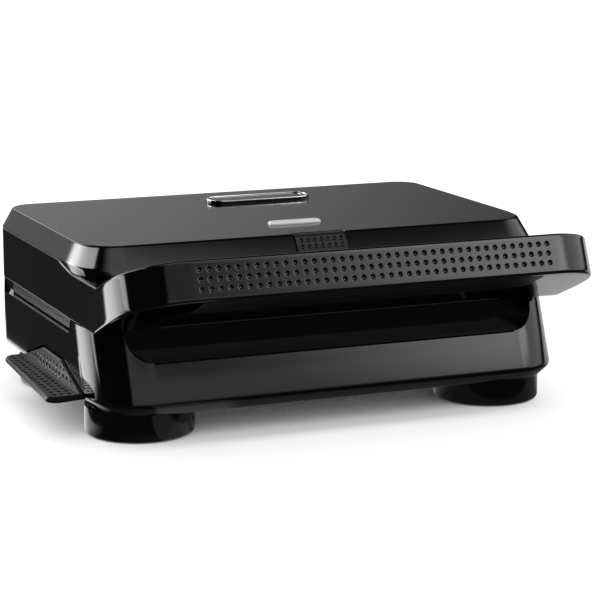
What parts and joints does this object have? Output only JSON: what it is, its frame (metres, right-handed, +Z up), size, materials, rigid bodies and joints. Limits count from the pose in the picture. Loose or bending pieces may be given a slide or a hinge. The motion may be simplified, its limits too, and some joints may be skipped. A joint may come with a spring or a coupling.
{
  "type": "donut maker",
  "caption": "Closed countertop donut maker: low base on round feet, hinged lid with a raised bow handle, ring-moulding plates inside, and release tabs on lid front and left side.",
  "frame": {"origin": "on the table plane under the middle of the body: halfway between the two sides, 138 mm ahead of the back wall", "axes": "+Z up, -Y towards the handle at the front, +X to the right seen from the front"},
  "size_m": [0.3217, 0.2804, 0.1158],
  "materials": {
    "shell_black": "satin black moulding with a fine grain",
    "gloss_black": "polished black",
    "tab_grey": "matte dark grey with dimples",
    "plate_coat": "dark non-stick coat",
    "reflector": "bright sheet",
    "heater": "heat-dulled tube",
    "steel": "plain zinc-plated steel",
    "ivory": "plain moulding",
    "soft_black": "soft black",
    "pad_rubber": "non-slip",
    "lens_clear": "clear moulded bar",
    "board": "circuit board",
    "bright_rim": "polished rim"
  },
  "bodies": {
    "base": {"base_shell": "shell_black", "bottom_cover": "shell_black", "cover_screws": "steel", "foot_front_left": "gloss_black", "foot_front_right": "gloss_black", "foot_back_left": "gloss_black", "foot_back_right": "gloss_black", "foot_pads": "pad_rubber", "cord_gland": "soft_black", "lower_reflector": "reflector", "lower_heater": "heater", "lower_posts": "steel", "lower_plate": "plate_coat", "thermostat": "steel", "terminal_block": "ivory", "hinge_bracket_left": "steel", "hinge_bracket_right": "steel", "hinge_pins": "steel", "lever_bracket": "steel", "lever_pin": "steel", "lever_spring": "steel"},
    "lid": {"lid_frame": "shell_black", "lid_cover": "gloss_black", "lid_screws": "steel", "handle_cover": "shell_black", "indicator_lens": "lens_clear", "indicator_board": "board", "badge_rim": "bright_rim", "badge_face": "gloss_black", "upper_reflector": "reflector", "upper_heater": "heater", "upper_posts": "steel", "upper_plate": "plate_coat", "thermal_fuse": "steel", "hinge_arm_left": "steel", "hinge_arm_right": "steel", "button_pin": "steel"},
    "lever": {"release_lever": "tab_grey"},
    "button": {"release_button": "tab_grey"}
  },
  "joints": [
    {"name": "lid_hinge", "type": "hinge", "parent": "base", "child": "lid", "pos_m": [0, 0.1335, 0.06525], "axis": [-1, 0, 0], "range_deg": [0, 95]},
    {"name": "lever_hinge", "type": "hinge", "parent": "base", "child": "lever", "pos_m": [-0.138, 0.0095, 0.03], "axis": [0, -1, 0], "range_deg": [0, 10], "stiffness_Nm_per_rad": 0.6, "springref_deg": -8.59},
    {"name": "button_hinge", "type": "hinge", "parent": "lid", "child": "button", "pos_m": [0, -0.0468, 0.1052], "axis": [1, 0, 0], "range_deg": [0, 5.5], "stiffness_Nm_per_rad": 0.4, "springref_deg": -8.59}
  ]
}
